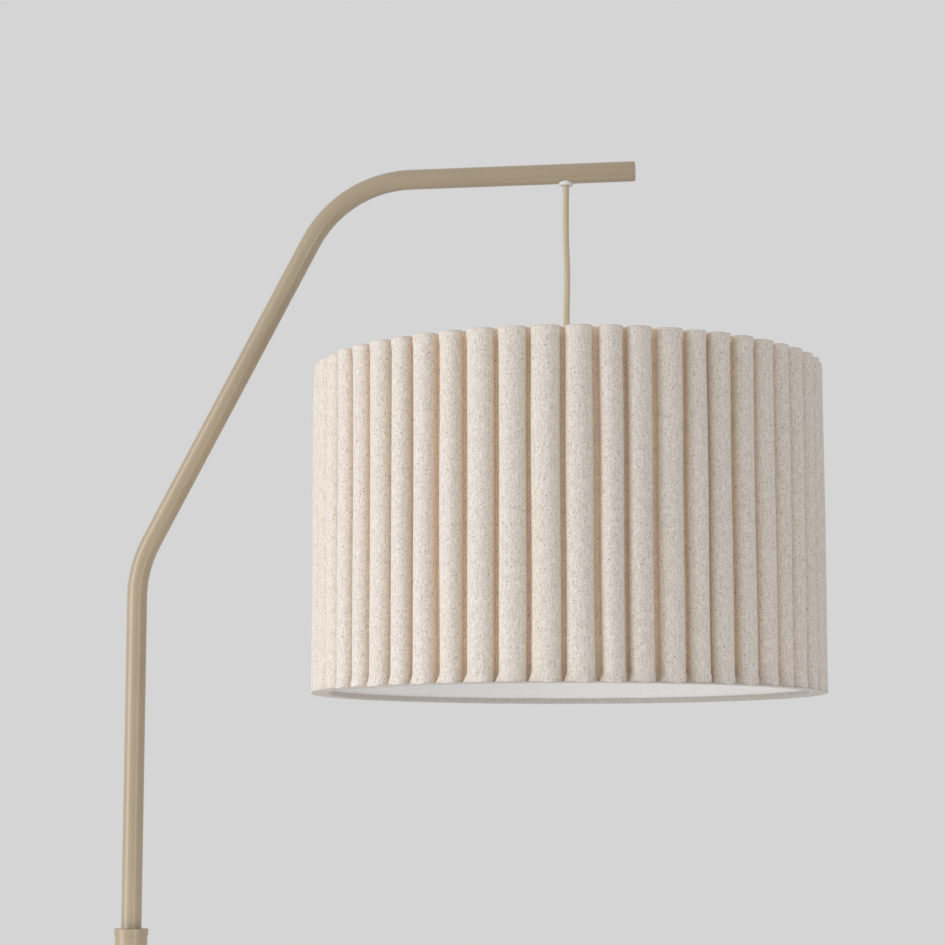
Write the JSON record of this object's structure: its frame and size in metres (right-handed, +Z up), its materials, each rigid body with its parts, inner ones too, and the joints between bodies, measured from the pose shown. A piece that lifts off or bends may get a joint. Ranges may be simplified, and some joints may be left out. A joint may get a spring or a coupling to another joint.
{
  "type": "floor lamp",
  "caption": "Arched floor lamp: round weighted foot, pole, swivelling bent tube arm and a fluted fabric drum shade hanging from it on a textile cord.",
  "frame": {"origin": "centre of the foot pad's underside, on the pole's axis, on the floor", "axes": "+Z up along the pole; +X from the pole towards the shade, along the arm's level tube; +Y to the left of the arm seen from behind the pole"},
  "size_m": [0.8369, 0.4998, 1.574],
  "materials": {
    "sand_enamel": "satin sand-beige enamel",
    "cast_iron": "rough casting, painted",
    "zinc_steel": "zinc-plated steel",
    "foam_pad": "closed-cell foam pad",
    "white_nylon": "white nylon",
    "guide_nylon": "natural nylon",
    "gland_plastic": "sand-coloured plastic",
    "textile_cord": "woven textile cord cover",
    "core_insulation_brown": "wire insulation",
    "core_insulation_blue": "wire insulation",
    "holder_plastic": "white moulded plastic",
    "porcelain": "unglazed steatite",
    "brass": "plain brass",
    "nickel_cap": "nickel-plated",
    "black_glass": "black insulator",
    "bulb_opal": "opal diffuser",
    "bulb_body": "white bulb body",
    "circuit_board": "white board",
    "white_wire": "white powder coat",
    "flecked_fabric": "flecked oatmeal fabric, fluted",
    "fabric_tape": "flecked oatmeal fabric hem",
    "white_lining": "smooth white laminate"
  },
  "bodies": {
    "foot": {"base_pad": "foam_pad", "base_plate": "zinc_steel", "base_plate_screws": "zinc_steel", "base_weight": "cast_iron", "base_cover": "sand_enamel", "mains_gland": "gland_plastic", "pole_stud": "zinc_steel", "pole_stud_washer": "zinc_steel", "pole_stud_nut": "zinc_steel", "pole_bottom_insert": "zinc_steel", "pole_foot_collar": "sand_enamel", "lower_pole": "sand_enamel", "pole_head_collar": "sand_enamel", "arm_guide_bush": "guide_nylon", "guide_bush_screws": "zinc_steel", "arm_thrust_washer": "guide_nylon", "pole_cord": "textile_cord"},
    "arm": {"arm_tube": "sand_enamel", "arm_foot_plug": "guide_nylon", "swivel_stop_pin": "zinc_steel", "arm_end_cap": "sand_enamel", "cord_outlet_bush": "white_nylon", "arm_cord": "textile_cord"},
    "cord_stopper": {"cord_stopper_ball": "white_nylon"},
    "pendant": {"pendant_cord": "textile_cord", "cord_grip": "white_nylon", "cord_grip_screw": "white_nylon", "lampholder_cap": "holder_plastic", "lampholder_skirt": "holder_plastic", "lampholder_core": "porcelain", "lampholder_screw_shell": "brass", "centre_contact": "brass", "terminal_screws": "brass", "live_core_wire": "core_insulation_brown", "neutral_core_wire": "core_insulation_blue", "shade_ring_nut": "holder_plastic", "bulb_tip_contact": "brass", "bulb_insulator": "black_glass", "bulb_screw_cap": "nickel_cap", "bulb_neck": "bulb_body", "bulb_globe": "bulb_opal", "bulb_board": "circuit_board"},
    "shade": {"shade_fitter_ring": "white_wire", "shade_spider_arms": "white_wire", "shade_top_ring": "white_wire", "shade_bottom_ring": "white_wire", "shade_lining": "white_lining", "shade_cover": "flecked_fabric", "shade_top_trim": "fabric_tape", "shade_bottom_trim": "fabric_tape"}
  },
  "joints": [
    {"name": "arm_swivel", "type": "hinge", "parent": "foot", "child": "arm", "pos_m": [0, 0, 0.82], "axis": [0, 0, 1], "range_deg": [-165, 165]},
    {"name": "cord_swing_inline", "type": "hinge", "parent": "arm", "child": "cord_stopper", "pos_m": [0.434, 0, 1.5559], "axis": [0, 1, 0], "range_deg": [-12, 12]},
    {"name": "cord_swing_sideways", "type": "hinge", "parent": "cord_stopper", "child": "pendant", "pos_m": [0.434, 0, 1.5559], "axis": [1, 0, 0], "range_deg": [-12, 12]},
    {"name": "shade_turn", "type": "hinge", "parent": "pendant", "child": "shade", "pos_m": [0.434, 0, 1.35], "axis": [0, 0, 1], "continuous": true}
  ]
}
